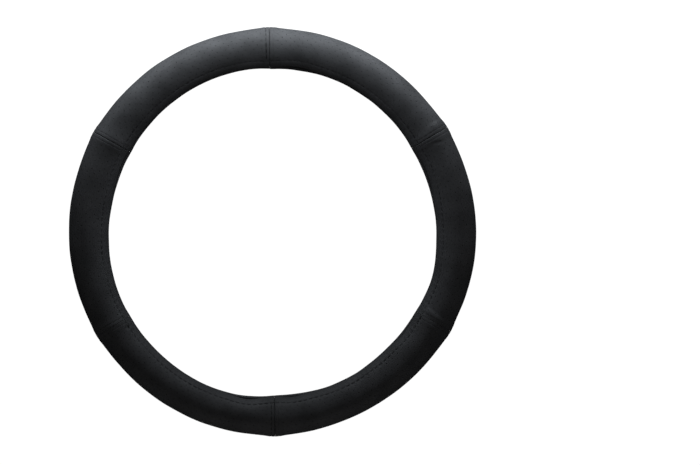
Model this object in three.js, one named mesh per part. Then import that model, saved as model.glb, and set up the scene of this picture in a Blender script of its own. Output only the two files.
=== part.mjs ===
// Steering wheel cover: a moulded rubber ring of C section inside a sewn leather jacket of six panels.
// Lengths are in millimetres and angles in degrees, with +Z up. The cover lies on its back face, and the
// origin is under its centre at the height that the cover rests on. The first seam is near +Y.

import {
  BufferGeometry,
  Float32BufferAttribute,
  Group,
  LatheGeometry,
  MathUtils,
  Mesh,
  MeshStandardMaterial,
  Vector2,
  Vector3,
} from 'three';
import { mergeVertices } from 'three/addons/utils/BufferGeometryUtils.js';

const { degToRad, radToDeg, euclideanModulo } = MathUtils;

// Overall sizes
const COVER_DIAMETER = 380; // across the outside of the leather, away from the seams
const GRIP_DIAMETER = 36; // across the leather where the hands hold it
const MOUTH_GAP = 7.5; // slit that the steering wheel's rim goes in by
const REST_FLAT_WIDTH = 6.2; // narrow flat that the leather takes at the front and the back

// Leather jacket
const PANEL_COUNT = 6;
const FIRST_SEAM_ANGLE = 90.8; // from +X towards +Y
const LEATHER_THICKNESS = 1.2;
const SEAM_GAP = 0.4; // between the turned ends of two panels
const SEAM_ALLOWANCE = 7; // leather turned under at each end of a panel
const SEAM_RAMP = 3; // where the doubled leather slopes down to the single one
const SEAM_ROUNDING = 0.9; // drop of the turned end into the seam
const HEM_TAIL = 3; // turned-in hem beyond the lip stitches

// Rubber ring
const RUBBER_WALL = 1.8;
const LIP_WALL = 1.2; // rubber between the two layers of the hem
const RIB_HEIGHT = 0.7;
const RIB_COUNT = 9; // ribs side by side round the channel
const LINING_CLEARANCE = 0.3; // between leather and rubber

// Sewing
const THREAD_WIDTH = 0.8;
const THREAD_CLEARANCE = 0.2;
const LEATHER_UNDER_STITCH = 0.3; // leather left below a pulled-in stitch
const STITCH_VALLEY_WIDTH = 1.8; // of the lip stitch line
const LIP_STITCH_INSET = 11.2; // from the edge of the mouth, along the leather
const TOPSTITCH_INSET = 3; // from the seam
const TOPSTITCH_VALLEY_WIDTH = 3; // leather that the topstitches pull in

// Facets
const PANEL_FACETS = 7; // along one panel
const SIDE_FACETS = 8; // round the outer half of the grip
const FACE_FACETS = 2; // from a lip stitch line to the flat
const FOLD_FACETS = 2; // round a folded lip

// Sizes that follow
const gripRadius = GRIP_DIAMETER / 2;
const centreLineRadius = COVER_DIAMETER / 2 - gripRadius;
const leatherInside = gripRadius - LEATHER_THICKNESS;
const rubberOutside = leatherInside - LINING_CLEARANCE;
const rubberInside = rubberOutside - RUBBER_WALL;
const lipInside = rubberOutside - LIP_WALL;
const hemOutside = lipInside - LINING_CLEARANCE;
const hemInside = hemOutside - LEATHER_THICKNESS;
const foldRadius = (gripRadius - hemInside) / 2;
const foldCentreRadius = gripRadius - foldRadius;
const seamRise = LEATHER_THICKNESS;
const valleyDepth = LEATHER_THICKNESS - LEATHER_UNDER_STITCH;
const threadRadius = THREAD_WIDTH / (2 * Math.cos(Math.PI / 6));
const threadHeight = 1.5 * threadRadius;
const seamInside = rubberOutside + threadHeight + 2 * THREAD_CLEARANCE;

// Angles round the grip, from the middle of the mouth by way of the front
const foldAngle = radToDeg(
  Math.atan(foldRadius / foldCentreRadius) +
    Math.asin(MOUTH_GAP / 2 / Math.hypot(foldRadius, foldCentreRadius)),
);
const lipStitchAngle = foldAngle + radToDeg((LIP_STITCH_INSET - (foldRadius * Math.PI) / 2) / gripRadius);
const valleyAngle = radToDeg(STITCH_VALLEY_WIDTH / 2 / gripRadius);
const hemEndAngle = lipStitchAngle + radToDeg(HEM_TAIL / hemOutside);
const ribStartAngle = hemEndAngle + radToDeg(LINING_CLEARANCE / hemInside);
const flatAngle = radToDeg(Math.asin(REST_FLAT_WIDTH / 2 / gripRadius));

const panelAngle = 360 / PANEL_COUNT;
const facetAngle = panelAngle / PANEL_FACETS;
const restHeight = (gripRadius + seamRise) * Math.cos(degToRad(flatAngle));

// Even steps from one value to another, both included
function steps(from, to, count) {
  return Array.from({ length: count + 1 }, (_, i) => from + ((to - from) * i) / count);
}

// Angle along the ring of a length measured on the centre line
function alongRing(length) {
  return radToDeg(length / centreLineRadius);
}

// A point of the grip's section, seen from the middle of the section: x outwards, y to the front
function polar(angle, radius) {
  return new Vector2(-radius * Math.cos(degToRad(angle)), radius * Math.sin(degToRad(angle)));
}

// The front half of a section line, which ends at the outer side, and its mirror image at the back
function mirrored(line) {
  const back = line.slice(0, -1).reverse();
  return [...line, ...back.map((point) => new Vector2(point.x, -point.y))];
}

// A section point turned to its place on the faceted ring
function onRing(section, ringAngle) {
  const fromMiddle = euclideanModulo(ringAngle, facetAngle) - facetAngle / 2;
  const flatness = Math.cos(degToRad(facetAngle / 2)) / Math.cos(degToRad(fromMiddle));
  const reach = (centreLineRadius + section.x) * flatness;
  const turn = degToRad(ringAngle);
  return new Vector3(reach * Math.cos(turn), reach * Math.sin(turn), section.y);
}

// Collects triangles and closes them into one solid
class Skin {
  corners = [];

  triangle(a, b, c) {
    for (const corner of [a, b, c]) {
      this.corners.push(corner.x, corner.y, corner.z);
    }
  }

  // A strip between two lines of points, which may have different counts
  zip(left, right) {
    let i = 0;
    let j = 0;
    while (i < left.length - 1 || j < right.length - 1) {
      const leftShare = (i + 1) / (left.length - 1);
      const rightShare = (j + 1) / (right.length - 1);
      if (leftShare <= rightShare) {
        this.triangle(left[i], left[i + 1], right[j]);
        i += 1;
      } else {
        this.triangle(left[i], right[j + 1], right[j]);
        j += 1;
      }
    }
  }

  // A sheet through rows of points
  sheet(rows) {
    for (let i = 1; i < rows.length; i += 1) {
      this.zip(rows[i - 1], rows[i]);
    }
  }

  geometry() {
    const soup = new BufferGeometry();
    soup.setAttribute('position', new Float32BufferAttribute(this.corners, 3));
    const closed = mergeVertices(soup, 1e-4);
    closed.computeVertexNormals();
    return closed;
  }
}

// Angles from a lip stitch line over the front, the outer side and the back to the other lip stitch line
const frontAngles = steps(lipStitchAngle + valleyAngle, 90 - flatAngle, FACE_FACETS);
const sideAngles = steps(90 + flatAngle, 180, SIDE_FACETS / 2);
const beyondValley = [...frontAngles, ...sideAngles];
const beyondStitches = [lipStitchAngle, ...frontAngles.slice(1), ...sideAngles];

const foldCentre = polar(foldAngle, foldCentreRadius);
const foldOut = polar(foldAngle, 1);
const foldToMouth = polar(foldAngle - 90, 1);

// Lines along the ring where the outside of a panel changes: how far the doubled leather lifts it, how far
// the turned end drops into the seam, and how deep the topstitches pull it in
function outsideStations() {
  const end = [
    { length: 0, rise: seamRise, drop: SEAM_ROUNDING, dip: 0 },
    { length: TOPSTITCH_INSET - TOPSTITCH_VALLEY_WIDTH / 2, rise: seamRise, drop: 0, dip: 0 },
    { length: TOPSTITCH_INSET, rise: seamRise, drop: 0, dip: valleyDepth },
    { length: TOPSTITCH_INSET + TOPSTITCH_VALLEY_WIDTH / 2, rise: seamRise, drop: 0, dip: 0 },
    { length: SEAM_ALLOWANCE, rise: seamRise, drop: 0, dip: 0 },
    { length: SEAM_ALLOWANCE + SEAM_RAMP, rise: 0, drop: 0, dip: 0 },
  ].map(({ length, ...shape }) => ({ ringAngle: alongRing(length + SEAM_GAP / 2), ...shape }));
  const middle = steps(facetAngle, panelAngle - facetAngle, PANEL_FACETS - 2).map((ringAngle) => ({
    ringAngle,
    rise: 0,
    drop: 0,
    dip: 0,
  }));
  const otherEnd = end.map((station) => ({ ...station, ringAngle: panelAngle - station.ringAngle })).reverse();
  return [...end, ...middle, ...otherEnd];
}

// Lines along the ring where the inside of a panel changes: only at the ends, where it clears the joining
// thread
function insideStations() {
  const end = [
    { ringAngle: alongRing(SEAM_GAP / 2), lift: seamInside - leatherInside },
    { ringAngle: alongRing(SEAM_ALLOWANCE + SEAM_RAMP + SEAM_GAP / 2), lift: 0 },
  ];
  const middle = steps(facetAngle, panelAngle - facetAngle, PANEL_FACETS - 2).map((ringAngle) => ({
    ringAngle,
    lift: 0,
  }));
  const otherEnd = end.map((station) => ({ ...station, ringAngle: panelAngle - station.ringAngle })).reverse();
  return [...end, ...middle, ...otherEnd];
}

// The outside of the leather at one station: hem inside the channel, fold, hem strip, stitch line and grip
function outsideLine({ rise, drop, dip }) {
  const hem = steps(hemEndAngle, foldAngle, 2)
    .slice(0, -1)
    .map((angle) => polar(angle, hemInside));
  const fold = steps(180, 0, FOLD_FACETS + 1).map((turn) => {
    const outward = Math.cos(degToRad(turn));
    const radius = foldRadius + ((rise - drop) * (1 + outward)) / 2;
    return foldCentre
      .clone()
      .addScaledVector(foldOut, radius * outward)
      .addScaledVector(foldToMouth, radius * Math.sin(degToRad(turn)));
  });
  const surface = gripRadius + rise - drop;
  const stitchLine = [
    polar(lipStitchAngle - valleyAngle, surface),
    polar(lipStitchAngle, gripRadius + rise - Math.max(drop, valleyDepth)),
  ];
  const grip = beyondValley.map((angle) => polar(angle, surface - dip));
  return mirrored([...hem, ...fold, ...stitchLine, ...grip]);
}

// The inside of the leather at one station
function insideLine({ lift }) {
  const hem = steps(hemEndAngle, foldAngle, 2)
    .slice(0, -1)
    .map((angle) => polar(angle, hemOutside));
  const fold = [-1, 1].map((side) =>
    foldCentre
      .clone()
      .addScaledVector(foldOut, side * (foldRadius - LEATHER_THICKNESS))
      .addScaledVector(foldToMouth, LINING_CLEARANCE),
  );
  const grip = beyondStitches.map((angle) => polar(angle, leatherInside + lift));
  return mirrored([...hem, ...fold, ...grip]);
}

// One leather panel, from a seam at angle 0 to the next one
function panelGeometry() {
  const placed = (line, ringAngle) => line.map((point) => onRing(point, ringAngle));
  const outside = outsideStations().map((station) => placed(outsideLine(station), station.ringAngle));
  const inside = insideStations().map((station) => placed(insideLine(station), station.ringAngle));
  const edge = (rows, index) => rows.map((row) => row.at(index));
  const skin = new Skin();
  skin.sheet(outside);
  skin.sheet(inside.toReversed());
  skin.zip(inside[0], outside[0]);
  skin.zip(outside.at(-1), inside.at(-1));
  skin.zip(edge(outside, 0), edge(inside, 0));
  skin.zip(edge(inside, -1), edge(outside, -1));
  return skin.geometry();
}

// The rubber ring: outside, thin lips inside the hems, and ribs that grip the steering wheel's rim
function rubberRingGeometry() {
  const outside = [foldAngle, ...beyondStitches].map((angle) => polar(angle, rubberOutside));
  const lip = [ribStartAngle, (hemEndAngle + foldAngle) / 2, foldAngle].map((angle) => polar(angle, lipInside));
  const ribs = steps(180, ribStartAngle, RIB_COUNT).map((angle, i) =>
    polar(angle, rubberInside - (i % 2 ? 0 : RIB_HEIGHT)),
  );
  const frontHalf = [...ribs, ...lip, ...outside];
  const backHalf = frontHalf
    .slice(1, -1)
    .reverse()
    .map((point) => new Vector2(point.x, -point.y));
  const profile = [...frontHalf, ...backHalf, frontHalf[0]].reverse();
  const turned = profile.map((point) => new Vector2(centreLineRadius + point.x, point.y));
  // A lathe starts at +Z, so a quarter turn puts its first facet line at the seam
  return new LatheGeometry(turned, PANEL_COUNT * PANEL_FACETS, Math.PI / 2).rotateX(Math.PI / 2);
}

// The three corners of a thread: how far each one stands out of the stitch line, and how far to the side
const threadCorners = [30, 150, 270].map((turn) => ({
  out: threadRadius * Math.sin(degToRad(turn)),
  aside: threadRadius * Math.cos(degToRad(turn)),
}));

// A lip thread runs round the whole ring and follows the leather over the seams
function lipThreadGeometry(side) {
  const rows = [];
  for (let panel = 0; panel < PANEL_COUNT; panel += 1) {
    for (const { ringAngle, rise } of outsideStations()) {
      const middle = gripRadius + rise - valleyDepth + THREAD_CLEARANCE + threadRadius;
      const ring = threadCorners.map(({ out, aside }) => {
        const corner = polar(lipStitchAngle + radToDeg(aside / gripRadius), middle + out);
        return onRing(new Vector2(corner.x, side * corner.y), panel * panelAngle + ringAngle);
      });
      rows.push([...ring, ring[0]]);
    }
  }
  rows.push(rows[0]);
  const skin = new Skin();
  skin.sheet(side > 0 ? rows.reverse() : rows);
  return skin.geometry();
}

// A seam thread runs across the grip, at one angle along the ring
function seamThreadGeometry(ringAngle, middleRadius, frontHalf) {
  const angles = [...frontHalf, ...frontHalf.slice(0, -1).reverse().map((angle) => 360 - angle)];
  const rows = angles.map((angle) => {
    const ring = threadCorners.map(({ out, aside }) =>
      onRing(polar(angle, middleRadius + out), ringAngle + alongRing(aside)),
    );
    return [...ring, ring[0]];
  });
  const skin = new Skin();
  skin.sheet(rows);
  const [first, last] = [rows[0], rows.at(-1)];
  skin.triangle(first[0], first[2], first[1]);
  skin.triangle(last[0], last[1], last[2]);
  return skin.geometry();
}

const leather = new MeshStandardMaterial({ name: 'leather', color: 0x1b1d20, roughness: 0.55, metalness: 0 });
const rubber = new MeshStandardMaterial({ name: 'rubber', color: 0x121212, roughness: 0.9, metalness: 0 });
const thread = new MeshStandardMaterial({ name: 'thread', color: 0x17181a, roughness: 0.8, metalness: 0 });

const cover = new Group();
cover.position.z = restHeight;
cover.rotation.z = degToRad(FIRST_SEAM_ANGLE);

function addPiece(name, geometry, material, turn = 0) {
  const piece = new Mesh(geometry, material);
  piece.name = name;
  piece.rotation.z = degToRad(turn);
  cover.add(piece);
}

addPiece('rubber_ring', rubberRingGeometry(), rubber);

// From the seam near +Y, the panels and seams follow each other towards -X
const panelNames = ['upper_left', 'left', 'lower_left', 'lower_right', 'right', 'upper_right'];
const panel = panelGeometry();
panelNames.forEach((name, i) => addPiece(`leather_panel_${name}`, panel, leather, i * panelAngle));

addPiece('front_lip_thread', lipThreadGeometry(1), thread);
addPiece('back_lip_thread', lipThreadGeometry(-1), thread);

const topstitchAngle = alongRing(TOPSTITCH_INSET + SEAM_GAP / 2);
const topstitchRadius = gripRadius + seamRise - valleyDepth + THREAD_CLEARANCE + threadRadius;
const topstitchBefore = seamThreadGeometry(-topstitchAngle, topstitchRadius, beyondValley);
const topstitchAfter = seamThreadGeometry(topstitchAngle, topstitchRadius, beyondValley);
const joiningThread = seamThreadGeometry(0, rubberOutside + THREAD_CLEARANCE + threadRadius, beyondStitches);

const seamNames = ['top', 'upper_left', 'lower_left', 'bottom', 'lower_right', 'upper_right'];
seamNames.forEach((name, i) => {
  addPiece(`${name}_seam_topstitch_1`, topstitchBefore, thread, i * panelAngle);
  addPiece(`${name}_seam_topstitch_2`, topstitchAfter, thread, i * panelAngle);
  addPiece(`${name}_seam_joining_thread`, joiningThread, thread, i * panelAngle);
});

export default cover;
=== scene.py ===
"""Steering wheel cover seen from the front: black perforated leather in six sewn panels on a rubber ring.

Sizes are in millimetres until a mesh is made. A point of a panel has two lengths: s, along the ring on the
grip's centre line from a seam, and t, round the grip's section from the middle of the mouth over the front.
Angles round the ring are phi, counter-clockwise from +X, or c, in degrees clockwise from the top.
"""
import math

import bpy
import numpy as np
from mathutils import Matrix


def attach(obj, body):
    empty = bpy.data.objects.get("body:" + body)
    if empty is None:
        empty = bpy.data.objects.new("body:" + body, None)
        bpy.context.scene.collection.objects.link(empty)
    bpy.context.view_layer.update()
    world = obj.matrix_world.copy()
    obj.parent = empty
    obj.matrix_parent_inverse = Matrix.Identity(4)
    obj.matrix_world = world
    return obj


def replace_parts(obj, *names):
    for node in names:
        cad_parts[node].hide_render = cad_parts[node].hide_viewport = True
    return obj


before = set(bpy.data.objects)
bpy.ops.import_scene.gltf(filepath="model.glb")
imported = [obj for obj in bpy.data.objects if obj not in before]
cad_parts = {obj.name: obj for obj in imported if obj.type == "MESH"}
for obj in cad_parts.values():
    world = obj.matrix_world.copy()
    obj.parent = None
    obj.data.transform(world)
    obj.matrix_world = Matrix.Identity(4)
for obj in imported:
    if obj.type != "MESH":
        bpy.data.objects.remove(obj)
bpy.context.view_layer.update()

MM = 0.001

# Ring and grip
CENTRE_LINE = 172.0  # radius of the ring at the middle of the grip
GRIP = 18.0  # radius of the grip's section
SEAM_RISE = 1.2  # how far the doubled leather at a seam stands out
SEAM_REACH = 10  # length beside a seam where the leather's inside is lifted
REST_FLAT = 3.1  # half the width of the small flats that the cover lies on
REST_HEIGHT = (GRIP + SEAM_RISE) * math.cos(math.asin(REST_FLAT / GRIP))
FLOOR_CLEARANCE = 0.03  # least height of the underside, which is pressed flat
FLOOR_BEND = 8  # sharpness of the bend at the pressed part, per millimetre
PANELS = 6
PANEL_TURN = 2 * math.pi / PANELS
PANEL_LENGTH = CENTRE_LINE * PANEL_TURN
PANEL_GAP = 0.015  # from the middle of a seam to a panel's end
FIRST_SEAM = math.radians(90.8)

# Seams by their degrees on the clock
TOP_SEAM = 359
LOWER_RIGHT_SEAM = 119
BOTTOM_SEAM = 179
LOWER_LEFT_SEAM = 239

# Folded lips, with angles from the middle of the mouth
FOLD_ANGLE = math.radians(19.8)
FOLD_RADIUS = 2.1
FOLD_CENTRE = GRIP - FOLD_RADIUS
POCKET = 0.9  # radius of the fold's inside
HEM_END = math.radians(57.6)
HEM_INSIDE = 13.8  # face of the hem towards the channel
HEM_OUTSIDE = 15.0  # face of the hem towards the rubber
LEATHER_INSIDE = 16.8
SEAM_INSIDE = 17.59  # inside of the leather at a seam

# Sewing
LIP_STITCH = math.radians(46.2)
LIP_STITCHES = 32  # along a panel
TOPSTITCH = 3.2  # from the seam to a row of topstitches
TOPSTITCHES = 16  # in a row
STITCH_MARGIN = 1.8  # from the lip stitches to the perforated part
STITCH_STEPS = 12  # rings of a thread's mesh in one stitch
THREAD = 0.33  # radius
THREAD_SIDES = 8
LIP_THREAD_DEPTH = 1.2  # of the thread's middle, where it is under the leather
LIP_THREAD_RISE = 0.5  # of the thread where a stitch shows
TOPSTITCH_DEPTH = 0.98
TOPSTITCH_RISE = 0.52

# Relief of the leather
LIP_VALLEY_WIDTH = 0.55
LIP_HOLLOW = 0.12  # soft hollow round the valley
LIP_HOLLOW_WIDTH = 2.2
NEEDLE_DEPTH = 0.2
NEEDLE_PLACES = (0.22, 0.78)  # along a stitch
DEEP_VALLEY = 0.2  # of the topstitches left of a seam
SHALLOW_VALLEY = 0.17  # of those right of it
GATHER_HEIGHT = 0.045
UNEVENNESS = 0.045

# Perforation
HOLE_COLUMNS = 22  # round the grip
HOLE_CELLS = 4  # cells of the grid from one column of holes to the next
HOLE_RADIUS = 0.35
HOLE_DEPTH = 0.75
HOLE_DRIFT = 0.12  # how far a hole may lie from its place
HOLE_PAINTED_SHADE = 0.25  # painted shade: tone of a hole's wall and bottom against the leather's face

# Bands of a hole from its edge down: what is added to its radius, and depth
HOLE_BANDS = ((0.16, 0.0), (0.03, 0.03), (-0.04, 0.22), (-0.07, HOLE_DEPTH))
FACE_BANDS = 2  # bands that are still the leather's face

# Rubber ring
RUBBER_OUTSIDE = 16.5
RUBBER_EDGE = math.radians(21.5)
RUBBER_LIP_INSIDE = 15.3
RUBBER_LIP_MIDDLE = 15.9
RUBBER_LIP_HALF = 0.6
RIBS = 9
RIBS_START = math.radians(58.9)
RIB_MIDDLE = 14.35
RIB_HALF = 0.35
RUBBER_STATIONS = 240

# Lengths round the section
T_FOLD = GRIP * FOLD_ANGLE
T_RETURN = T_FOLD - FOLD_RADIUS * math.pi
T_HEM_END = T_RETURN - HEM_INSIDE * (HEM_END - FOLD_ANGLE)
T_LIP = GRIP * LIP_STITCH
T_BACK = 2 * math.pi * GRIP
PERFORATED = T_BACK - 2 * (T_LIP + STITCH_MARGIN)
TOPSTITCH_PITCH = PERFORATED / TOPSTITCHES
HOLE_CELL = PERFORATED / (HOLE_COLUMNS * HOLE_CELLS)

# Cells along a panel
STITCH_CELLS = 6
PANEL_CELLS = LIP_STITCHES * STITCH_CELLS
CELL = PANEL_LENGTH / PANEL_CELLS
FIRST_CELL = 7  # the first one past the closer stations beside a seam


def smooth(x):
    """Smooth step from 0 to 1."""
    x = np.clip(x, 0, 1)
    return x * x * (3 - 2 * x)


def bell(x, width):
    """1 in the middle, falling to 0 on both sides."""
    return np.exp(-((x / width) ** 2))


def clock(phi):
    """Degrees clockwise from the top of the ring."""
    return (90 - np.degrees(phi)) % 360


def around(angle, middle, width):
    """A bell on the clock, in degrees."""
    return bell((angle - middle + 180) % 360 - 180, width)


def at_seam(c, seam):
    """1 at one of the seams and 0 at the others."""
    return around(c, seam, 15)


def outer_wobble(phi):
    """How far the stuffed outline leaves the circle at the outer side, bulge by bulge."""
    c = clock(phi)
    return (
        0.8 * around(c, 98, 20)
        - 1.05 * around(c, 150, 21)
        - 0.55 * around(c, 27, 20)
        + 0.4 * around(c, 192, 14)
        - 0.3 * around(c, 226, 14)
        - 0.4 * around(c, 335, 16)
        - 0.9 * around(c, 49, 11)
        - 0.35 * around(c, 72, 10)
        + 0.5 * around(c, 175, 10)
        + 0.3 * around(c, 293, 8)
    )


def inner_wobble(phi):
    """The same for the lips, with plus away from the wheel's centre."""
    c = clock(phi)
    return (
        -1.15
        - 1.2 * np.cos(np.radians(c))
        + 0.95 * around(c, 22, 16)
        - 1.0 * around(c, 68, 12)
        + 1.6 * around(c, 106, 9)
        - 1.35 * around(c, 137, 13)
        - 1.2 * around(c, 172, 13)
        + 1.75 * around(c, 201, 18)
        + 0.6 * around(c, 236, 12)
        - 1.45 * around(c, 287, 24)
        + 0.85 * around(c, 344, 18)
        + 0.7 * around(c, 253, 14)
        - 0.4 * around(c, 178, 8)
        - 0.4 * around(c, 9, 6)
    )


def lips_apart(phi):
    """How far the front lip stands back, so that the back lip shows under it."""
    c = clock(phi)
    return (
        2.2 * around(c, 9, 5.5)
        + 2.2 * around(c, 69, 8)
        + 1.1 * around(c, 128, 5)
        + 1.5 * around(c, 173, 4.5)
        + 2.0 * around(c, 189, 5)
        + 1.8 * around(c, 297, 12)
    )


def section(t):
    """Place and outward normal of the leather's outside, seen from the grip's middle: outwards and up.

    The last value is 1 on the grip, falls over the fold and is 0 on the hem inside the channel.
    """
    t = np.asarray(t, float)
    back = t > T_BACK / 2
    q = np.where(back, T_BACK - t, t)
    theta = q / GRIP
    turn = np.clip((T_FOLD - q) / FOLD_RADIUS, 0, math.pi)
    hem = FOLD_ANGLE + np.clip(T_RETURN - q, 0, None) / HEM_INSIDE
    on_fold = (q < T_FOLD) & (q >= T_RETURN)
    on_hem = q < T_RETURN
    a = -GRIP * np.cos(theta)
    b = GRIP * np.sin(theta)
    na = -np.cos(theta)
    nb = np.sin(theta)
    out = (-math.cos(FOLD_ANGLE), math.sin(FOLD_ANGLE))
    mouth = (-math.sin(FOLD_ANGLE), -math.cos(FOLD_ANGLE))
    fa = np.cos(turn) * out[0] + np.sin(turn) * mouth[0]
    fb = np.cos(turn) * out[1] + np.sin(turn) * mouth[1]
    a = np.where(on_fold, FOLD_CENTRE * out[0] + FOLD_RADIUS * fa, a)
    b = np.where(on_fold, FOLD_CENTRE * out[1] + FOLD_RADIUS * fb, b)
    na = np.where(on_fold, fa, na)
    nb = np.where(on_fold, fb, nb)
    a = np.where(on_hem, -HEM_INSIDE * np.cos(hem), a)
    b = np.where(on_hem, HEM_INSIDE * np.sin(hem), b)
    na = np.where(on_hem, np.cos(hem), na)
    nb = np.where(on_hem, -np.sin(hem), nb)
    side = np.where(back, -1, 1)
    weight = np.where(on_hem, 0, 0.5 + 0.5 * np.cos(turn))
    return a, b * side, na, nb * side, weight


def placed(phi, a, b):
    """A point of the section on the ring, with the wobble, resting on the floor."""
    phi, a, b = np.broadcast_arrays(phi, a, b)
    lips = inner_wobble(phi) + lips_apart(phi) * smooth(0.5 + b / 9)
    a = a + outer_wobble(phi) * smooth(a / GRIP) + lips * smooth(-a / GRIP)
    limit = REST_HEIGHT - FLOOR_CLEARANCE
    low = np.logaddexp(0, FLOOR_BEND * (limit + b)) / FLOOR_BEND - limit
    b = np.where(b < -0.8 * GRIP, low, b)
    reach = CENTRE_LINE + a
    return np.stack([reach * np.cos(phi), reach * np.sin(phi), REST_HEIGHT + b], -1) * MM


# Waves of the unevenness: cycles a millimetre along and round the leather, phase and length
rng = np.random.default_rng(7)
LONGEST_WAVE = 46
WAVES = [
    (rng.uniform(-1, 1) / length, rng.uniform(-1, 1) / length, rng.uniform(0, 2 * math.pi), length)
    for length in (LONGEST_WAVE, 38, 31, 26, 21, 17, 14, 11)
    for _ in range(3)
]


def unevenness(along, t):
    """Soft unevenness of stretched leather."""
    total = 0
    for fs, ft, phase, length in WAVES:
        total = total + length / LONGEST_WAVE * np.sin(2 * math.pi * (fs * along + ft * t) + phase)
    return UNEVENNESS * total


def dash(u, half=0.29, edge=0.05):
    """1 where a stitch shows, and 0 where its thread is under the leather; u is 0 to 1 along a stitch."""
    return smooth((half + edge - np.abs(u - 0.5)) / (2 * edge))


def end_rounding(c):
    """Radius of the leather's edge at a seam: fullest at the top and bottom seams."""
    return (
        0.85
        + 0.4 * at_seam(c, TOP_SEAM)
        + 0.5 * at_seam(c, BOTTOM_SEAM)
        - 0.35 * at_seam(c, LOWER_RIGHT_SEAM)
        - 0.35 * at_seam(c, LOWER_LEFT_SEAM)
    )


def seam_swell(end):
    """How far the doubled leather lifts the outside, at a distance from the seam."""
    return SEAM_RISE * (0.28 * smooth((9.5 - end) / 6.5) + 0.72 * bell(end, 11.5))


def creases(c, theta):
    """Puffs and creases of this one cover, at a clock angle and an angle round the grip from the mouth."""
    # Upper right seam: a puff before it and a crease after it
    puff = smooth((c - 55.5) / 1.2) * smooth((59.4 - c) / 2.6)
    total = 0.75 * puff * bell(theta - 120, 28)
    total = total - 0.42 * around(c, 61.7 + 0.03 * (theta - 95), 0.42) * bell(theta - 96, 15)

    # Lower right seam: a slanting puff before it and a short crease after it
    slant = c + 0.03 * (80 - theta)
    puff = smooth((slant - 116.3) / 0.9) * smooth((119.2 - slant) / 1.8)
    total = total + 0.95 * puff * bell(theta - 72, 28)
    total = total - 0.6 * around(c, 120.6, 1.1) * bell(theta - 50, 6)

    # Lower left seam: a ridge at its edge and a short crease before it
    total = total + 0.3 * around(c, 239.4, 0.5) * bell(theta - 76, 17)
    total = total - 0.5 * around(c, 236.4, 0.9) * bell(theta - 50, 7)

    # Left of the top seam: a puff and a dent
    total = total + 0.25 * around(c, 352.6, 1.8) * bell(theta - 112, 18)
    total = total - 0.16 * around(c, 347.5, 0.8) * bell(theta - 100, 12)
    return total


def leather_height(panel, s, t):
    """How far the leather stands out of its plain section."""
    s, t = np.broadcast_arrays(np.asarray(s, float), np.asarray(t, float))
    end = np.minimum(s, PANEL_LENGTH - s)
    c = clock(FIRST_SEAM + panel * PANEL_TURN + s / CENTRE_LINE)
    q = np.minimum(t, T_BACK - t)
    theta = np.degrees(t / GRIP)
    on_grip = section(t)[4]

    # Doubled leather beside a seam, with its rounded end
    rise = seam_swell(end) * (0.4 + 0.6 * smooth((q - T_LIP + 4) / 8))
    radius = end_rounding(c) * (1 - 0.6 * smooth((q / GRIP - 2.2) / 0.7))
    inward = np.clip(end - PANEL_GAP, 0, radius)
    drop = radius - np.sqrt(radius ** 2 - (radius - inward) ** 2)
    height = (rise - drop * (0.1 + 0.9 * smooth((q - T_FOLD) / 6))) * on_grip

    # Valley of the lip stitches, pulled in unevenly, and their needle holes
    u = (s / (STITCH_CELLS * CELL)) % 1
    d = q - T_LIP
    along = panel * PANEL_LENGTH + s
    pull = 0.75 + 0.5 * np.sin(along / 23.7 + 0.8) * np.sin(along / 9.1 + 2.0)
    low_part = 0.35 + 0.65 * smooth((np.cos(np.radians(c - 180)) + 0.2) / 0.9)
    sunk = 0.55 + 0.45 * low_part * pull
    height = height - sunk * (0.2 + 0.4 * dash(u)) * bell(d, LIP_VALLEY_WIDTH)
    height = height - LIP_HOLLOW * bell(d, LIP_HOLLOW_WIDTH)
    first, last = NEEDLE_PLACES
    needle = bell((u - first) * 5.2, 0.33) + bell((u - last) * 5.2, 0.33)
    height = height - NEEDLE_DEPTH * needle * bell(d, 0.4) * pull

    # Puckers on both sides of the lip stitches, strongest at the lower part of the ring
    strip = bell(d + 3.2, 2.3)
    height = height + (0.1 + 0.12 * low_part * pull * np.cos(2 * math.pi * u)) * strip * on_grip
    height = height + 0.06 * low_part * pull * np.cos(2 * math.pi * u) * bell(d - 2.0, 1.3)

    # Valleys of the topstitches, deeper on the left of each seam and deepest at the top one's inner half
    v = ((q - T_LIP - STITCH_MARGIN) / TOPSTITCH_PITCH) % 1
    left_side = (s < PANEL_LENGTH / 2) == (np.cos(np.radians(c)) > 0)
    upright = at_seam(c, TOP_SEAM) + at_seam(c, BOTTOM_SEAM)
    inner_half = at_seam(c, TOP_SEAM) * smooth((100 - theta) / 15)
    deep = DEEP_VALLEY + 0.26 * upright + 0.33 * inner_half
    depth = np.where(left_side, deep, SHALLOW_VALLEY) * (0.6 + 0.4 * dash(v, 0.34, 0.09))
    width = 0.42 + 0.4 * inner_half
    reach = smooth((q - T_LIP - 0.9) / 0.9)
    height = height - depth * bell(end - TOPSTITCH, width) * reach

    # Gathers that run out from the topstitches
    gather = np.cos(2 * math.pi * v) * smooth((end - 3.6) / 1.2) * bell(end - 4.2, 3.2)
    height = height - GATHER_HEIGHT * gather * reach

    height = height + unevenness(along, t) * smooth(on_grip)
    return height + creases(c, theta)


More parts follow.
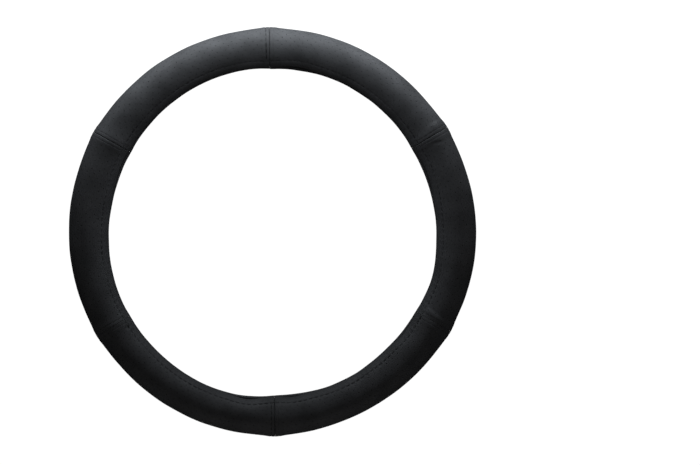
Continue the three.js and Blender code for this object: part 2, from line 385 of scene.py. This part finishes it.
class Shell:
    """Gathers points and faces of one closed mesh."""

    def __init__(self):
        self.points = []
        self.faces = {3: [], 4: []}
        self.marks = {3: [], 4: []}
        self.count = 0

    def add(self, points):
        """Adds points and returns their numbers."""
        points = np.asarray(points).reshape(-1, 3)
        ids = np.arange(self.count, self.count + len(points))
        self.points.append(points)
        self.count += len(points)
        return ids

    def put(self, faces, mark=0):
        """Adds faces with three or four sides each; mark is the number of their material."""
        faces = np.asarray(faces, int)
        self.faces[faces.shape[1]].append(faces)
        self.marks[faces.shape[1]].append(np.full(len(faces), mark))

    def strip(self, left, right, keep=slice(None)):
        """Four-sided faces between two lines of the same length, or those of them to keep."""
        self.put(np.stack([left[:-1], right[:-1], right[1:], left[1:]], 1)[keep])

    def bridge(self, left, left_at, right, right_at):
        """Triangles between two lines whose points lie at left_at and right_at."""
        i = j = 0
        faces = []
        while i < len(left) - 1 or j < len(right) - 1:
            next_left = left_at[i + 1] if i < len(left) - 1 else np.inf
            next_right = right_at[j + 1] if j < len(right) - 1 else np.inf
            if next_right <= next_left:
                faces.append((left[i], right[j], right[j + 1]))
                j += 1
            else:
                faces.append((left[i], right[j], left[i + 1]))
                i += 1
        self.put(faces)

    def mesh(self, name, *materials):
        """Makes a smooth object of all points and faces."""
        mesh = bpy.data.meshes.new(name)
        points = np.concatenate(self.points)
        mesh.vertices.add(len(points))
        mesh.vertices.foreach_set("co", points.astype(np.float32).ravel())
        corners, starts, marks, at = [], [], [], 0
        for sides in (3, 4):
            if self.faces[sides]:
                block = np.concatenate(self.faces[sides])
                corners.append(block.ravel())
                starts.append(at + sides * np.arange(len(block)))
                marks.append(np.concatenate(self.marks[sides]))
                at += block.size
        corners = np.concatenate(corners)
        starts = np.concatenate(starts)
        mesh.loops.add(len(corners))
        mesh.loops.foreach_set("vertex_index", corners.astype(np.int32))
        mesh.polygons.add(len(starts))
        mesh.polygons.foreach_set("loop_start", starts.astype(np.int32))
        mesh.polygons.foreach_set("material_index", np.concatenate(marks).astype(np.int32))
        mesh.polygons.foreach_set("use_smooth", np.ones(len(starts), bool))
        for material in materials:
            mesh.materials.append(material)
        mesh.update(calc_edges=True)
        mesh.validate()
        piece = bpy.data.objects.new(name, mesh)
        bpy.context.scene.collection.objects.link(piece)
        return piece


# Stations along a panel: close together beside a seam, then one a cell, or two in the sewn strips
SEAM_STATIONS = np.array([
    PANEL_GAP, 0.05, 0.11, 0.2, 0.34, 0.55, 0.85, 1.3, 1.8, 2.3,
    2.65, 2.95, TOPSTITCH, 3.45, 3.75, 4.1, 4.5, 4.95, 5.4, 5.9,
])
CELL_STATIONS = np.arange(FIRST_CELL, PANEL_CELLS - FIRST_CELL + 1) * CELL
HALF_STATIONS = np.sort(np.concatenate([CELL_STATIONS, (CELL_STATIONS[1:] + CELL_STATIONS[:-1]) / 2]))
NEXT_SEAM_STATIONS = (PANEL_LENGTH - SEAM_STATIONS)[::-1]
COARSE = np.concatenate([SEAM_STATIONS, CELL_STATIONS, NEXT_SEAM_STATIONS])
FINE = np.concatenate([SEAM_STATIONS, HALF_STATIONS, NEXT_SEAM_STATIONS])

# Lines round the section, from the hem inside the front lip to the one inside the back lip, all as t
HEM_LINES = np.linspace(T_HEM_END, T_RETURN, 7)[:-1]
FOLD_LINES = np.linspace(T_RETURN, T_FOLD, 9)[:-1]
STRIP_LINES = np.linspace(T_FOLD, T_LIP - STITCH_MARGIN, 10)[:-1]
SEWN_LINES = np.linspace(T_LIP - STITCH_MARGIN, T_LIP + STITCH_MARGIN, 9)
LIP_LINES = np.concatenate([HEM_LINES, FOLD_LINES, STRIP_LINES, SEWN_LINES])
GRIP_LINES = T_LIP + STITCH_MARGIN + HOLE_CELL * np.arange(1, HOLE_COLUMNS * HOLE_CELLS)
LINES = np.concatenate([LIP_LINES, GRIP_LINES, (T_BACK - LIP_LINES)[::-1]])
FIRST_FINE = len(HEM_LINES) + len(FOLD_LINES) + 5
FIRST_GRIP = len(LIP_LINES)

# Line, counted from the first one on the grip, and station of the middle of each hole
HOLE_LINES, HOLE_STATIONS = np.array([
    (HOLE_CELLS * column + 1, len(SEAM_STATIONS) + cell - FIRST_CELL)
    for column in range(HOLE_COLUMNS)
    for cell in range(FIRST_CELL + 1 + HOLE_CELLS * (column % 2), PANEL_CELLS - FIRST_CELL, 2 * HOLE_CELLS)
]).T


def is_fine(line):
    """Whether a line lies in one of the two sewn strips."""
    from_end = min(line, len(LINES) - 1 - line)
    return FIRST_FINE <= from_end < FIRST_GRIP


def panel_surface(panel, s, t, lower=0.0):
    """Points of a panel's outside, or as much lower."""
    a, b, na, nb, _ = section(t)
    h = leather_height(panel, s, t) - lower
    phi = FIRST_SEAM + panel * PANEL_TURN
    return placed(phi + s / CENTRE_LINE, a + h * na, b + h * nb)


def add_outside(shell, panel):
    """The outside of a panel, with four cells left open for each hole."""
    stations = [FINE if is_fine(line) else COARSE for line in range(len(LINES))]
    ids = [shell.add(panel_surface(panel, s, np.full(len(s), t))) for s, t in zip(stations, LINES)]
    taken = np.zeros((len(GRIP_LINES), len(COARSE) - 1), bool)
    for line, station in ((-1, -1), (-1, 0), (0, -1), (0, 0)):
        taken[HOLE_LINES + line, HOLE_STATIONS + station] = True
    for line in range(len(LINES) - 1):
        left, right = ids[line], ids[line + 1]
        on_grip = line - FIRST_GRIP
        if len(left) != len(right):
            shell.bridge(left, stations[line], right, stations[line + 1])
        elif 0 <= on_grip < len(GRIP_LINES) - 1:
            shell.strip(left, right, ~taken[on_grip])
        else:
            shell.strip(left, right)
    return stations, ids


def add_holes(shell, panel, grid):
    """The holes of a panel, each with a rounded edge, and walls and a flat bottom darkened as painted
    shade, in the open cells of the grid.
    """
    # The eight points round an open place, in stations and in lines
    across = np.array([-1, -1, -1, 0, 1, 1, 1, 0])
    round_grip = np.array([-1, 0, 1, 1, 1, 0, -1, -1])
    away = np.hypot(across, round_grip)
    drift = rng.uniform(-HOLE_DRIFT, HOLE_DRIFT, (2, len(HOLE_LINES), 1))
    s = COARSE[HOLE_STATIONS][:, None] + drift[0]
    t = GRIP_LINES[HOLE_LINES][:, None] + drift[1]
    rings = [grid[HOLE_LINES[:, None] + round_grip, HOLE_STATIONS[:, None] + across]]
    for wider, lower in HOLE_BANDS:
        radius = HOLE_RADIUS + wider
        points = panel_surface(panel, s + radius * across / away, t + radius * round_grip / away, lower)
        rings.append(shell.add(points).reshape(rings[0].shape))
    bottom = shell.add(panel_surface(panel, s[:, 0], t[:, 0], HOLE_DEPTH))
    following = [(k, (k + 1) % len(away)) for k in range(len(away))]
    # The bands below the face and the bottom take the darkened leather: painted shade in the holes
    for band, (wide, narrow) in enumerate(zip(rings[:-1], rings[1:])):
        for k, n in following:
            faces = np.stack([wide[:, k], wide[:, n], narrow[:, n], narrow[:, k]], 1)
            shell.put(faces, int(band >= FACE_BANDS))
    for k, n in following:
        shell.put(np.stack([narrow[:, k], narrow[:, n], bottom], 1), 1)


def inside_section():
    """The leather's inside: places, with their outward normals where a seam lifts them, and their t."""
    hem = np.linspace(HEM_END, FOLD_ANGLE, 4)[:-1]
    turn = np.radians([180, 120, 60])
    arc = np.linspace(FOLD_ANGLE, math.pi, 19)
    out = np.array([-math.cos(FOLD_ANGLE), math.sin(FOLD_ANGLE)])
    mouth = np.array([-math.sin(FOLD_ANGLE), -math.cos(FOLD_ANGLE)])
    pocket = FOLD_CENTRE * out + POCKET * (np.cos(turn)[:, None] * out + np.sin(turn)[:, None] * mouth)
    half = [(-HEM_OUTSIDE * math.cos(x), HEM_OUTSIDE * math.sin(x), 0, 0) for x in hem]
    half += [(a, b, 0, 0) for a, b in pocket]
    for x in arc:
        na, nb = -math.cos(x), math.sin(x)
        half.append((LEATHER_INSIDE * na, LEATHER_INSIDE * nb, na, nb))
    half_t = [T_RETURN - HEM_INSIDE * (x - FOLD_ANGLE) for x in hem]
    half_t += [T_FOLD - FOLD_RADIUS * x for x in turn]
    half_t += [GRIP * x for x in arc]
    places = half + [(a, -b, na, -nb) for a, b, na, nb in half[:-1][::-1]]
    return np.array(places), np.array(half_t + [T_BACK - t for t in half_t[:-1][::-1]])


def add_inside(shell, panel, places):
    """The inside of a panel, lifted towards its two seams."""
    near_seam = np.array([PANEL_GAP, 2.5, 6.0])
    s = np.concatenate([near_seam, CELL_STATIONS[4:-4:6], (PANEL_LENGTH - near_seam)[::-1]])
    end = np.minimum(s, PANEL_LENGTH - s)
    lift = (SEAM_INSIDE - LEATHER_INSIDE) * np.clip(1 - end / SEAM_REACH, 0, 1)
    phi = FIRST_SEAM + panel * PANEL_TURN + s / CENTRE_LINE
    ids = [shell.add(placed(phi, a + lift * na, b + lift * nb)) for a, b, na, nb in places]
    for left, right in zip(ids[1:], ids[:-1]):
        shell.strip(left, right)
    return s, ids


def panel_piece(name, panel, leather, hole_shade_leather):
    """One leather panel, closed along its two hems and at its two seams."""
    shell = Shell()
    stations, outer = add_outside(shell, panel)
    add_holes(shell, panel, np.stack(outer[FIRST_GRIP:FIRST_GRIP + len(GRIP_LINES)]))
    places, inner_t = inside_section()
    inner_s, inner = add_inside(shell, panel, places)
    shell.bridge([line[0] for line in outer], LINES, [line[0] for line in inner], inner_t)
    shell.bridge([line[-1] for line in inner], inner_t, [line[-1] for line in outer], LINES)
    shell.bridge(inner[0], inner_s, outer[0], stations[0])
    shell.bridge(outer[-1], stations[-1], inner[-1], inner_s)
    piece = shell.mesh(name, leather, hole_shade_leather)
    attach(piece, "root")
    return piece


def tube(name, rings, closed, material):
    """A thread through rings of points, closed on itself or with two flat ends."""
    shell = Shell()
    count, sides = rings.shape[:2]
    ids = shell.add(rings).reshape(count, sides)
    following = [(k, (k + 1) % sides) for k in range(sides)]
    for k, n in following:
        left, right = ids[:, k], ids[:, n]
        if closed:
            left, right = np.append(left, left[0]), np.append(right, right[0])
        shell.strip(left, right)
    if not closed:
        for end, flip in ((0, False), (-1, True)):
            ring = ids[end]
            middle = shell.add(rings[end].mean(0))[0]
            for k, n in following:
                face = (ring[k], ring[n], middle) if flip else (ring[n], ring[k], middle)
                shell.put([face])
    piece = shell.mesh(name, material)
    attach(piece, "root")
    return piece


def lip_thread(name, side, material):
    """The stitch row round the whole ring at one lip: side is 1 at the front and -1 at the back."""
    k = np.arange(PANELS * LIP_STITCHES * STITCH_STEPS)
    along = k * PANEL_LENGTH / (LIP_STITCHES * STITCH_STEPS)
    s = along % PANEL_LENGTH
    end = np.minimum(s, PANEL_LENGTH - s)
    show = dash((k / STITCH_STEPS) % 1, 0.3, 0.07)
    lift = 0.7 * seam_swell(end) - 0.9 * bell(end, 0.9)
    middle = GRIP - LIP_THREAD_DEPTH + LIP_THREAD_RISE * show + lift
    phi = FIRST_SEAM + along / CENTRE_LINE
    beta = np.linspace(0, 2 * math.pi, THREAD_SIDES + 1)[:-1] * side
    out = middle[:, None] + THREAD * np.cos(beta)
    theta = LIP_STITCH + THREAD * np.sin(beta)[None, :] / GRIP
    rings = placed(phi[:, None], -out * np.cos(theta), side * out * np.sin(theta))
    return tube(name, rings, True, material)


def topstitch_thread(name, seam, side, material):
    """A stitch row beside a seam, from lip to lip: side is -1 before the seam and 1 after it."""
    v = np.arange(TOPSTITCHES * STITCH_STEPS + 1) / STITCH_STEPS
    t = T_LIP + STITCH_MARGIN + v * TOPSTITCH_PITCH
    show = dash(v % 1, 0.34, 0.08)
    a, b, na, nb, _ = section(t)
    along = (seam * PANEL_LENGTH + side * TOPSTITCH) % (PANELS * PANEL_LENGTH)
    marks = creases(clock(FIRST_SEAM + along / CENTRE_LINE), np.degrees(t / GRIP))
    h = seam_swell(TOPSTITCH) + unevenness(along, t) + marks - TOPSTITCH_DEPTH + TOPSTITCH_RISE * show
    beta = np.linspace(0, 2 * math.pi, THREAD_SIDES + 1)[:-1]
    phi = FIRST_SEAM + seam * PANEL_TURN + (side * TOPSTITCH + THREAD * np.sin(beta)[None, :]) / CENTRE_LINE
    out = h[:, None] + THREAD * np.cos(beta)[None, :]
    rings = placed(phi, a[:, None] + out * na[:, None], b[:, None] + out * nb[:, None])
    return tube(name, rings, False, material)


def rubber_profile():
    """Section of the rubber ring: smooth outside, thin lips inside the hems, rounded ribs inside."""
    rib = (math.pi - RIBS_START) / RIBS
    half = []
    for x in np.linspace(math.pi, RIBS_START, 46):
        r = RIB_MIDDLE - RIB_HALF * math.cos(math.pi * (math.pi - x) / rib)
        half.append((-r * math.cos(x), r * math.sin(x)))
    for x in np.linspace(RIBS_START - 0.02, RUBBER_EDGE, 7):
        half.append((-RUBBER_LIP_INSIDE * math.cos(x), RUBBER_LIP_INSIDE * math.sin(x)))
    for x in (2.4, 1.57, 0.75):
        r = RUBBER_LIP_MIDDLE + RUBBER_LIP_HALF * math.cos(x)
        nose = RUBBER_EDGE - 0.04 * math.sin(x)
        half.append((-r * math.cos(nose), r * math.sin(nose)))
    for x in np.linspace(RUBBER_EDGE, math.pi, 26):
        half.append((-RUBBER_OUTSIDE * math.cos(x), RUBBER_OUTSIDE * math.sin(x)))
    return np.array(half + [(a, -b) for a, b in half[1:-1][::-1]])


def rubber_piece(name, material):
    """The moulded ring."""
    profile = rubber_profile()
    phi = FIRST_SEAM + np.arange(RUBBER_STATIONS) * 2 * math.pi / RUBBER_STATIONS
    points = placed(phi[:, None], profile[None, :, 0], profile[None, :, 1])
    shell = Shell()
    ids = shell.add(points).reshape(RUBBER_STATIONS, len(profile))
    for k in range(len(profile)):
        n = (k + 1) % len(profile)
        shell.strip(np.append(ids[:, k], ids[0, k]), np.append(ids[:, n], ids[0, n]))
    piece = shell.mesh(name, material)
    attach(piece, "root")
    return piece


GRAIN_DEPTH = 0.0001  # metres


def new_material(name, roughness, specular):
    """A material with its node tree and its shader."""
    material = bpy.data.materials.new(name)
    material.use_nodes = True
    tree = material.node_tree
    shader = next(n for n in tree.nodes if n.type == "BSDF_PRINCIPLED")
    shader.inputs["Roughness"].default_value = roughness
    shader.inputs["Specular IOR Level"].default_value = specular
    return material, tree, shader


def texture(tree, kind, **values):
    """A texture on the object's own coordinates."""
    place = tree.nodes.new("ShaderNodeTexCoord")
    node = tree.nodes.new(kind)
    for name, value in values.items():
        node.inputs[name].default_value = value
    tree.links.new(place.outputs["Object"], node.inputs["Vector"])
    return node


def add_grain(tree, shader, height, strength):
    """Fine relief from the height that a node gives out."""
    bump = tree.nodes.new("ShaderNodeBump")
    bump.inputs["Strength"].default_value = strength
    bump.inputs["Distance"].default_value = GRAIN_DEPTH
    tree.links.new(height, bump.inputs["Height"])
    tree.links.new(bump.outputs["Normal"], shader.inputs["Normal"])


def leather_material(name, tint):
    """Black leather: fine pebble grain and a faint unevenness of tone and gloss; a tint below 1 darkens it
    as painted shade for the holes.
    """
    material, tree, shader = new_material(name, 0.55, 0.05)
    tone = texture(tree, "ShaderNodeTexNoise", Scale=55, Detail=4)
    ramp = tree.nodes.new("ShaderNodeValToRGB")
    darkest, lightest = ramp.color_ramp.elements
    darkest.position = 0.3
    darkest.color = [0.0216 * tint, 0.022 * tint, 0.0231 * tint, 1]
    lightest.position = 0.7
    lightest.color = [0.0307 * tint, 0.0312 * tint, 0.0328 * tint, 1]
    tree.links.new(tone.outputs["Fac"], ramp.inputs["Fac"])
    tree.links.new(ramp.outputs["Color"], shader.inputs["Base Color"])

    gloss = texture(tree, "ShaderNodeTexNoise", Scale=170, Detail=3)
    spread = tree.nodes.new("ShaderNodeMapRange")
    spread.inputs["To Min"].default_value = 0.5
    spread.inputs["To Max"].default_value = 0.62
    tree.links.new(gloss.outputs["Fac"], spread.inputs["Value"])
    tree.links.new(spread.outputs["Result"], shader.inputs["Roughness"])

    pebble = texture(tree, "ShaderNodeTexVoronoi", Scale=1250)
    pebble.feature = "SMOOTH_F1"
    pebble.inputs["Smoothness"].default_value = 0.35
    wrinkle = texture(tree, "ShaderNodeTexNoise", Scale=620, Detail=5, Roughness=0.6)
    joined = tree.nodes.new("ShaderNodeMath")
    joined.operation = "SUBTRACT"
    tree.links.new(wrinkle.outputs["Fac"], joined.inputs[0])
    tree.links.new(pebble.outputs["Distance"], joined.inputs[1])
    add_grain(tree, shader, joined.outputs["Value"], 0.55)
    return material


def rubber_material():
    """Matt black rubber."""
    material, tree, shader = new_material("rubber", 0.75, 0.35)
    shader.inputs["Base Color"].default_value = (0.011, 0.011, 0.011, 1)
    grain = texture(tree, "ShaderNodeTexNoise", Scale=900)
    add_grain(tree, shader, grain.outputs["Fac"], 0.3)
    return material


def thread_material():
    """Black sewing thread with a fine fibre grain."""
    material, tree, shader = new_material("thread", 0.85, 0.1)
    shader.inputs["Base Color"].default_value = (0.007, 0.0073, 0.008, 1)
    fibre = texture(tree, "ShaderNodeTexNoise", Scale=3200, Detail=3)
    add_grain(tree, shader, fibre.outputs["Fac"], 0.7)
    return material


leather = leather_material("leather", 1.0)
# Darkened copy of the leather for the holes' walls and bottoms: painted shade
hole_shade_leather = leather_material("leather_holes_painted_shade", HOLE_PAINTED_SHADE)
rubber = rubber_material()
thread = thread_material()

ring = rubber_piece("moulded_rubber_ring", rubber)
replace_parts(ring, "rubber_ring")

panel_names = ["upper_left", "left", "lower_left", "lower_right", "right", "upper_right"]
for index, place_name in enumerate(panel_names):
    piece = panel_piece(f"perforated_leather_{place_name}", index, leather, hole_shade_leather)
    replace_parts(piece, f"leather_panel_{place_name}")

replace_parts(lip_thread("front_lip_stitches", 1, thread), "front_lip_thread")
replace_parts(lip_thread("back_lip_stitches", -1, thread), "back_lip_thread")

seam_names = ["top", "upper_left", "lower_left", "bottom", "lower_right", "upper_right"]
for index, seam_name in enumerate(seam_names):
    before = topstitch_thread(f"{seam_name}_seam_stitches_1", index, -1, thread)
    after = topstitch_thread(f"{seam_name}_seam_stitches_2", index, 1, thread)
    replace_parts(before, f"{seam_name}_seam_topstitch_1")
    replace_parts(after, f"{seam_name}_seam_topstitch_2")
    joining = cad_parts[f"{seam_name}_seam_joining_thread"]
    for material_slot in joining.material_slots:
        material_slot.material = thread

FLOOR_REACH = 6.0  # metres
FLOOR_GLOW = 1.02
FLOOR_BOUNCE = 0.01


def floor_material():
    """Pale floor that shines white to the camera and is nearly dark to the object on it."""
    material, tree, shader = new_material("pale_floor", 0.9, 0.1)
    shader.inputs["Base Color"].default_value = (0.05, 0.05, 0.05, 1)
    shader.inputs["Emission Color"].default_value = (1, 1, 1, 1)
    seen = tree.nodes.new("ShaderNodeLightPath")
    glow = tree.nodes.new("ShaderNodeMapRange")
    glow.inputs["To Min"].default_value = FLOOR_BOUNCE
    glow.inputs["To Max"].default_value = FLOOR_GLOW
    tree.links.new(seen.outputs["Is Camera Ray"], glow.inputs["Value"])
    tree.links.new(glow.outputs["Result"], shader.inputs["Emission Strength"])
    return material


corners = [(x * FLOOR_REACH, y * FLOOR_REACH, 0) for x, y in ((-1, -1), (1, -1), (1, 1), (-1, 1))]
floor_mesh = bpy.data.meshes.new("floor")
floor_mesh.from_pydata(corners, [], [(0, 1, 2, 3)])
floor_mesh.materials.append(floor_material())
floor = bpy.data.objects.new("floor", floor_mesh)
bpy.context.scene.collection.objects.link(floor)


def area_light(name, place, aim, size, power, colour):
    """A softbox that the camera doesn't see; place, aim and size are in metres, power in watts."""
    data = bpy.data.lights.new(name, "AREA")
    data.shape = "RECTANGLE"
    data.size, data.size_y = size
    data.energy = power
    data.color = colour
    light = bpy.data.objects.new(name, data)
    light.location = place
    direction = np.array(aim, float) - np.array(place, float)
    light.rotation_euler = (
        math.acos(-direction[2] / np.linalg.norm(direction)),
        0,
        math.atan2(direction[1], direction[0]) - math.pi / 2,
    )
    light.visible_camera = False
    bpy.context.scene.collection.objects.link(light)


# The main light grazes the top of the ring, and the others are weak
COOL = (0.905, 0.955, 1)
NEUTRAL = (1, 0.98, 0.98)
TOP_OF_RING = (0, 0.19, 0.02)
area_light("low_softbox", (0, 0.30, 0.07), TOP_OF_RING, (0.62, 0.12), 2.88, COOL)
area_light("top_softbox", (0, 0.21, 0.16), TOP_OF_RING, (0.30, 0.10), 0.22, COOL)
area_light("fill_softbox", (0, -0.45, 0.15), (0, -0.19, 0.02), (0.60, 0.20), 0.36, NEUTRAL)
area_light("left_softbox", (-0.42, -0.02, 0.20), (-0.17, 0, 0.02), (0.26, 0.14), 0.07, NEUTRAL)
area_light("right_softbox", (0.42, -0.02, 0.20), (0.17, 0, 0.02), (0.26, 0.14), 0.12, NEUTRAL)
area_light("overhead_softbox", (0, 0.12, 0.9), (0, 0.12, 0), (0.5, 0.3), 0.42, NEUTRAL)

scene = bpy.context.scene
world = bpy.data.worlds.new("studio")
scene.world = world
world.use_nodes = True
background = world.node_tree.nodes["Background"]
background.inputs["Color"].default_value = (1, 1, 1, 1)
background.inputs["Strength"].default_value = 0.035
scene.view_settings.view_transform = "Standard"
scene.view_settings.look = "None"

# Camera, straight above, with the top of the ring up and the ring left of the picture's middle
CAMERA_HEIGHT = 1.519  # metres
SENSOR = 36
IMAGE_WIDTH = 700
PIXELS_PER_MM = 1.0695  # in the photograph, at the height of the grip's middle
camera_data = bpy.data.cameras.new("camera")
camera_data.sensor_width = SENSOR
camera_data.lens = PIXELS_PER_MM * (CAMERA_HEIGHT * 1000 - REST_HEIGHT) * SENSOR / IMAGE_WIDTH
camera_data.shift_x = 0.1112
camera_data.shift_y = -0.0014
camera_data.clip_start = 0.05
camera = bpy.data.objects.new("camera", camera_data)
camera.location = (0, 0, CAMERA_HEIGHT)
camera.rotation_euler = (0, 0, 0)
scene.collection.objects.link(camera)
scene.camera = camera
